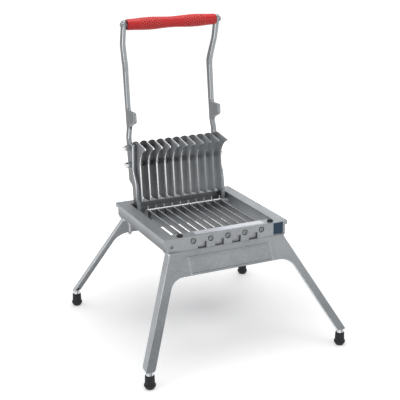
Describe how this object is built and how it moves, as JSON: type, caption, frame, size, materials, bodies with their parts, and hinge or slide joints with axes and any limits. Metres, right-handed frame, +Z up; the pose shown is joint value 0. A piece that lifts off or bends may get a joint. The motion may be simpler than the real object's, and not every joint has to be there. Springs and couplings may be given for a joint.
{
  "type": "lettuce cutter",
  "caption": "Free-standing lettuce cutter: a hinged lever swings a rack of pusher plates down between fixed scalloped blades in a cast tray on splayed legs.",
  "frame": {"origin": "on the table, midway between the four feet", "axes": "+X to the right of someone facing the front, -Y towards the front, +Z up; the hinge axis is parallel to X"},
  "size_m": [0.599, 0.607, 0.8661],
  "materials": {
    "cast_aluminium": "satin sand-cast",
    "pusher_plate": "satin cast with bright front edges",
    "blade_steel": "ground",
    "black_rubber": "matt",
    "plated_steel": "zinc plated",
    "bright_rod": "bright drawn",
    "bright_nut": "plated",
    "spacer_tube": "turned",
    "bronze": "sintered bearing bronze",
    "red_vinyl": "satin vinyl with a dotted pattern",
    "dark_ring": "matt"
  },
  "bodies": {
    "base": {"tray_frame": "cast_aluminium", "front_leg_frame": "cast_aluminium", "rear_leg_frame": "cast_aluminium", "leg_bolts": "plated_steel", "foot_front_left": "black_rubber", "foot_front_right": "black_rubber", "foot_rear_left": "black_rubber", "foot_rear_right": "black_rubber", "foot_studs": "plated_steel", "bumper_left": "black_rubber", "bumper_right": "black_rubber", "blade_anchor": "cast_aluminium", "anchor_screws": "plated_steel", "blade_rod": "bright_rod", "blade_01": "blade_steel", "blade_02": "blade_steel", "blade_03": "blade_steel", "blade_04": "blade_steel", "blade_05": "blade_steel", "blade_06": "blade_steel", "blade_07": "blade_steel", "blade_08": "blade_steel", "blade_09": "blade_steel", "blade_10": "blade_steel", "blade_yoke_1": "cast_aluminium", "blade_yoke_2": "cast_aluminium", "blade_yoke_3": "cast_aluminium", "blade_yoke_4": "cast_aluminium", "blade_yoke_5": "cast_aluminium", "yoke_pins": "plated_steel", "tension_screws": "plated_steel", "hinge_pin_left": "plated_steel", "hinge_pin_right": "plated_steel", "pin_screws": "plated_steel"},
    "lever": {"arm_left": "cast_aluminium", "arm_right": "cast_aluminium", "hinge_bush_left": "bronze", "hinge_bush_right": "bronze", "pusher_01": "pusher_plate", "pusher_02": "pusher_plate", "pusher_03": "pusher_plate", "pusher_04": "pusher_plate", "pusher_05": "pusher_plate", "pusher_06": "pusher_plate", "pusher_07": "pusher_plate", "pusher_08": "pusher_plate", "pusher_09": "pusher_plate", "pusher_10": "pusher_plate", "pusher_11": "pusher_plate", "upper_tie_rod": "bright_rod", "lower_tie_rod": "bright_rod", "upper_spacers": "spacer_tube", "lower_spacers": "spacer_tube", "cap_nuts": "bright_nut", "handle_bar": "plated_steel", "handle_grip": "red_vinyl", "grip_rings": "dark_ring", "handle_screws": "plated_steel"}
  },
  "joints": [
    {"name": "lever_hinge", "type": "hinge", "parent": "base", "child": "lever", "pos_m": [0, 0.136, 0.309], "axis": [1, 0, 0], "range_deg": [0, 85.6]}
  ]
}
